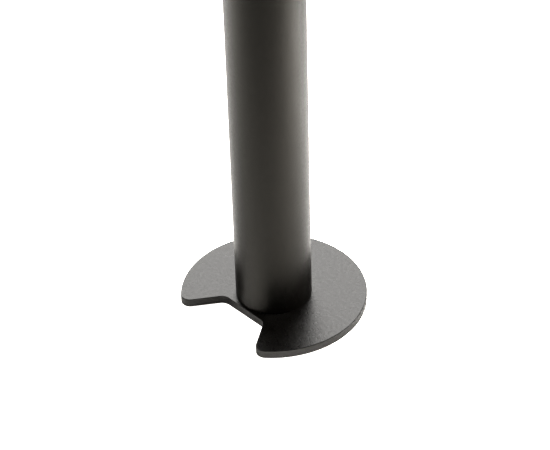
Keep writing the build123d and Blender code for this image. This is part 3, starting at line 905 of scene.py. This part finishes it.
# %% Tree for the rolled beads
BEAD_SIDES = 12


def make_rolled_beads():
    inputs = [
        ("Radius", "NodeSocketFloat", 0.04),
        ("Proud", "NodeSocketFloat", 0.0007),
        ("Half width", "NodeSocketFloat", 0.002),
        ("Count", "NodeSocketInt", 6),
        ("Lowest", "NodeSocketFloat", 0.5),
        ("Spacing", "NodeSocketFloat", 0.05),
        ("Segments", "NodeSocketInt", 96),
        ("Finish", "NodeSocketMaterial", None),
    ]
    tree, start, end = new_group("rolled_beads", "GeometryNodeTree", inputs,
                                 [("Geometry", "NodeSocketGeometry")])
    give = start.outputs
    path = add(tree, "GeometryNodeCurvePrimitiveCircle", {"Resolution": give["Segments"],
                                                          "Radius": give["Radius"]})
    round_wire = add(tree, "GeometryNodeCurvePrimitiveCircle", {"Resolution": BEAD_SIDES,
                                                                "Radius": 1.0})
    flat = add(tree, "ShaderNodeCombineXYZ", {"X": give["Proud"], "Y": give["Half width"], "Z": 1.0})
    wire = add(tree, "GeometryNodeTransform", {"Geometry": round_wire.outputs[0],
                                               "Scale": flat.outputs[0]})
    bead = add(tree, "GeometryNodeCurveToMesh", {"Curve": path.outputs[0],
                                                 "Profile Curve": wire.outputs[0]})
    first = add(tree, "ShaderNodeCombineXYZ", {"Z": give["Lowest"]})
    step = add(tree, "ShaderNodeCombineXYZ", {"Z": give["Spacing"]})
    levels = add(tree, "GeometryNodeMeshLine", {"Count": give["Count"],
                                                "Start Location": first.outputs[0],
                                                "Offset": step.outputs[0]})
    beads = add(tree, "GeometryNodeInstanceOnPoints", {"Points": levels.outputs[0],
                                                       "Instance": bead.outputs[0]})
    end_tree(tree, end, beads.outputs[0], give["Finish"])
    return tree


rolled_beads = make_rolled_beads()
print("tree", rolled_beads.name)

# %% Rolled beads of the liner
BEAD_COUNT = 6
BEAD_SEGMENTS = 96
BEAD_PROUD = 0.0007
BEAD_HALF_WIDTH = 0.0022
BEAD_END_GAP = 0.035          # from each end of the bare liner to the nearest bead
collar_bottom = levels_of("liner_collar")[0]
bead_span = collar_bottom - liner_end - 2 * BEAD_END_GAP
grow("liner_beads", rolled_beads,
     {"Radius": liner_radius, "Proud": BEAD_PROUD, "Half width": BEAD_HALF_WIDTH, "Count": BEAD_COUNT,
      "Lowest": liner_end + BEAD_END_GAP, "Spacing": bead_span / (BEAD_COUNT - 1),
      "Segments": BEAD_SEGMENTS, "Finish": liner_sheet}, "liner")

# %% [markdown]
# **The lock's thread.** The lock's body is threaded below the top plate, for its nut. A helix
# is a path with a rule: so many turns over so much height. A thin round wire swept along it,
# half sunk in the body, reads as a rolled thread.

# %% Tree for the lock's thread
STEPS_PER_TURN = 32
THREAD_SIDES = 6


def make_lock_thread():
    inputs = [
        ("Radius", "NodeSocketFloat", 0.0075),
        ("Turns", "NodeSocketFloat", 10.0),
        ("Height", "NodeSocketFloat", 0.02),
        ("Wire", "NodeSocketFloat", 0.0004),
        ("Foot", "NodeSocketVector", None),
        ("Finish", "NodeSocketMaterial", None),
    ]
    tree, start, end = new_group("lock_thread", "GeometryNodeTree", inputs,
                                 [("Geometry", "NodeSocketGeometry")])
    give = start.outputs
    helix = add(tree, "GeometryNodeCurveSpiral", {"Resolution": STEPS_PER_TURN,
                                                  "Rotations": give["Turns"],
                                                  "Start Radius": give["Radius"],
                                                  "End Radius": give["Radius"],
                                                  "Height": give["Height"]})
    wire = add(tree, "GeometryNodeCurvePrimitiveCircle", {"Resolution": THREAD_SIDES,
                                                          "Radius": give["Wire"]})
    thread = add(tree, "GeometryNodeCurveToMesh", {"Curve": helix.outputs[0],
                                                   "Profile Curve": wire.outputs[0],
                                                   "Fill Caps": True})
    placed = add(tree, "GeometryNodeTransform", {"Geometry": thread.outputs[0],
                                                 "Translation": give["Foot"]})
    end_tree(tree, end, placed.outputs[0], give["Finish"])
    return tree


lock_thread = make_lock_thread()
print("tree", lock_thread.name)

# %% Thread of the lock's body
THREAD_PITCH = 0.0015
THREAD_WIRE = 0.0004
lock_low, lock_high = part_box("lock_body")
nut_bottom = levels_of("lock_nut")[0]
lock_axis_y = (lock_low.y + lock_high.y) / 2
shank_radius = min(math.hypot(v.co.x, v.co.y - lock_axis_y)
                   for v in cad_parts["lock_body"].data.vertices
                   if v.co.z < nut_bottom and v.co.x > 0)
thread_foot = lock_low.z + THREAD_PITCH
thread_height = nut_bottom - thread_foot - THREAD_WIRE
grow("lock_thread", lock_thread,
     {"Radius": shank_radius, "Turns": thread_height / THREAD_PITCH, "Height": thread_height,
      "Wire": THREAD_WIRE, "Foot": (0.0, lock_axis_y, thread_foot),
      "Finish": lock_chrome}, "head")
